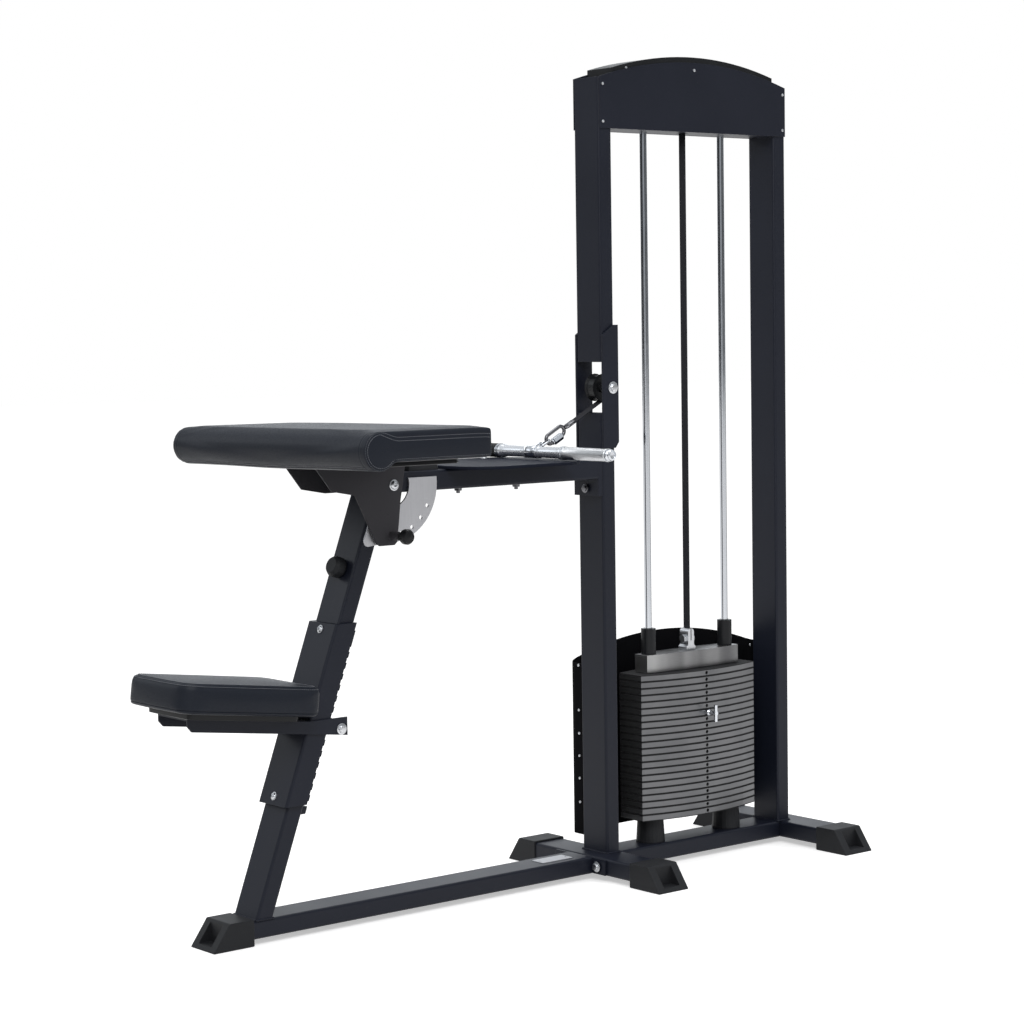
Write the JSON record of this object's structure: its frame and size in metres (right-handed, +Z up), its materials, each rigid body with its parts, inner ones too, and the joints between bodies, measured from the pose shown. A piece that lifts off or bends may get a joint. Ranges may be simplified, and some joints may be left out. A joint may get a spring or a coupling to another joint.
{
  "type": "biceps triceps machine",
  "caption": "Bench frame with a sliding seat and a tilting arm pad, joined to a weight tower whose strap runs over pulleys to a pull bar.",
  "frame": {"origin": "on the floor, at the middle of the machine's length and width", "axes": "+X from the seat to the weight tower, +Y across the machine away from the lock pin's side, +Z up"},
  "size_m": [2.1547, 0.838, 2.2175],
  "materials": {
    "frame": "satin",
    "rubber": "matte",
    "cover": "satin",
    "chrome": "polished",
    "steel": "brushed",
    "plate": "satin",
    "strap": "satin",
    "moulded": "matte"
  },
  "bodies": {
    "frame": {"bench_beam": "frame", "tower_beam": "frame", "foot_beam_front": "frame", "foot_beam_rear": "frame", "foot_bench": "moulded", "foot_front_left": "moulded", "foot_front_right": "moulded", "foot_rear_left": "moulded", "foot_rear_right": "moulded", "joint_plate": "frame", "upright_front_lower": "frame", "upright_front_upper": "frame", "upright_rear": "frame", "cheek_left": "frame", "cheek_right": "frame", "mid_axle": "steel", "header_plate_left": "frame", "header_plate_right": "frame", "header_cover": "frame", "rod_plate": "frame", "guide_rod_front": "chrome", "guide_rod_rear": "chrome", "bumper_front": "rubber", "bumper_rear": "rubber", "shroud": "frame", "post": "frame", "post_sleeve": "frame", "seat_rack": "frame", "pad_stop": "rubber", "upper_beam": "frame", "beam_end_plate": "frame", "bar_tray": "frame", "quadrant": "steel", "plates_resting": "plate", "strap_upper": "strap", "strap_lift": "strap"},
    "seat": {"seat_carriage": "frame", "seat_pad": "cover", "seat_roller": "steel"},
    "arm_rest": {"arm_pad": "cover", "pad_bracket": "frame", "pivot_bolt": "steel"},
    "pad_lock": {"lock_pin": "rubber"},
    "lift": {"plates_lifted": "plate", "head_plate": "steel", "bushing_front": "moulded", "bushing_rear": "moulded", "selector_stem": "steel", "strap_clamp": "steel"},
    "selector": {"selector_pin": "steel"},
    "pulley_rear": {"pulley_rear": "moulded"},
    "pulley_front": {"pulley_front": "moulded"},
    "pulley_mid": {"pulley_mid": "moulded"},
    "bar_hang": {"strap_tail": "strap", "snap_hook": "chrome", "bar_link": "chrome", "bar_hanger": "chrome"},
    "bar": {"bar": "chrome", "bar_grip_left": "rubber", "bar_grip_right": "steel"}
  },
  "joints": [
    {"name": "seat_slide", "type": "slide", "parent": "frame", "child": "seat", "axis": [0.3478, 0, 0.9376], "range_m": [-0.12, 0.15]},
    {"name": "pad_tilt", "type": "hinge", "parent": "frame", "child": "arm_rest", "pos_m": [-0.39832, 0, 1.101], "axis": [0, -1, 0], "range_deg": [0, 67]},
    {"name": "lock_slide", "type": "slide", "parent": "arm_rest", "child": "pad_lock", "axis": [0, -1, 0], "range_m": [-0.005, 0.01], "stiffness_N_per_m": 200},
    {"name": "stack_lift", "type": "slide", "parent": "frame", "child": "lift", "axis": [0, 0, 1], "range_m": [0, 1.3], "deforming": ["strap_lift"]},
    {"name": "pin_slide", "type": "slide", "parent": "lift", "child": "selector", "axis": [0, -1, 0], "range_m": [0, 0.13]},
    {"name": "pulley_rear_turn", "type": "hinge", "parent": "frame", "child": "pulley_rear", "pos_m": [0.6181, 0, 2.095], "axis": [0, 1, 0], "range_deg": [-1700, 0]},
    {"name": "pulley_front_turn", "type": "hinge", "parent": "frame", "child": "pulley_front", "pos_m": [0.4252, 0, 2.095], "axis": [0, 1, 0], "range_deg": [-1700, 0]},
    {"name": "pulley_mid_turn", "type": "hinge", "parent": "frame", "child": "pulley_mid", "pos_m": [0.3468, 0, 1.324], "axis": [0, 1, 0], "range_deg": [0, 2200]},
    {"name": "bar_swing", "type": "hinge", "parent": "frame", "child": "bar_hang", "pos_m": [0.3468, 0, 1.324], "axis": [0, 1, 0], "range_deg": [0, 60]},
    {"name": "bar_turn", "type": "hinge", "parent": "bar_hang", "child": "bar", "pos_m": [0.11158, 0, 1.1602], "axis": [0, 1, 0], "continuous": true}
  ],
  "couplings": [
    {"joint": "pulley_rear_turn", "follows": "stack_lift", "rad_per_m": -22.624},
    {"joint": "pulley_front_turn", "follows": "stack_lift", "rad_per_m": -22.624},
    {"joint": "pulley_mid_turn", "follows": "stack_lift", "rad_per_m": 29.24}
  ]
}
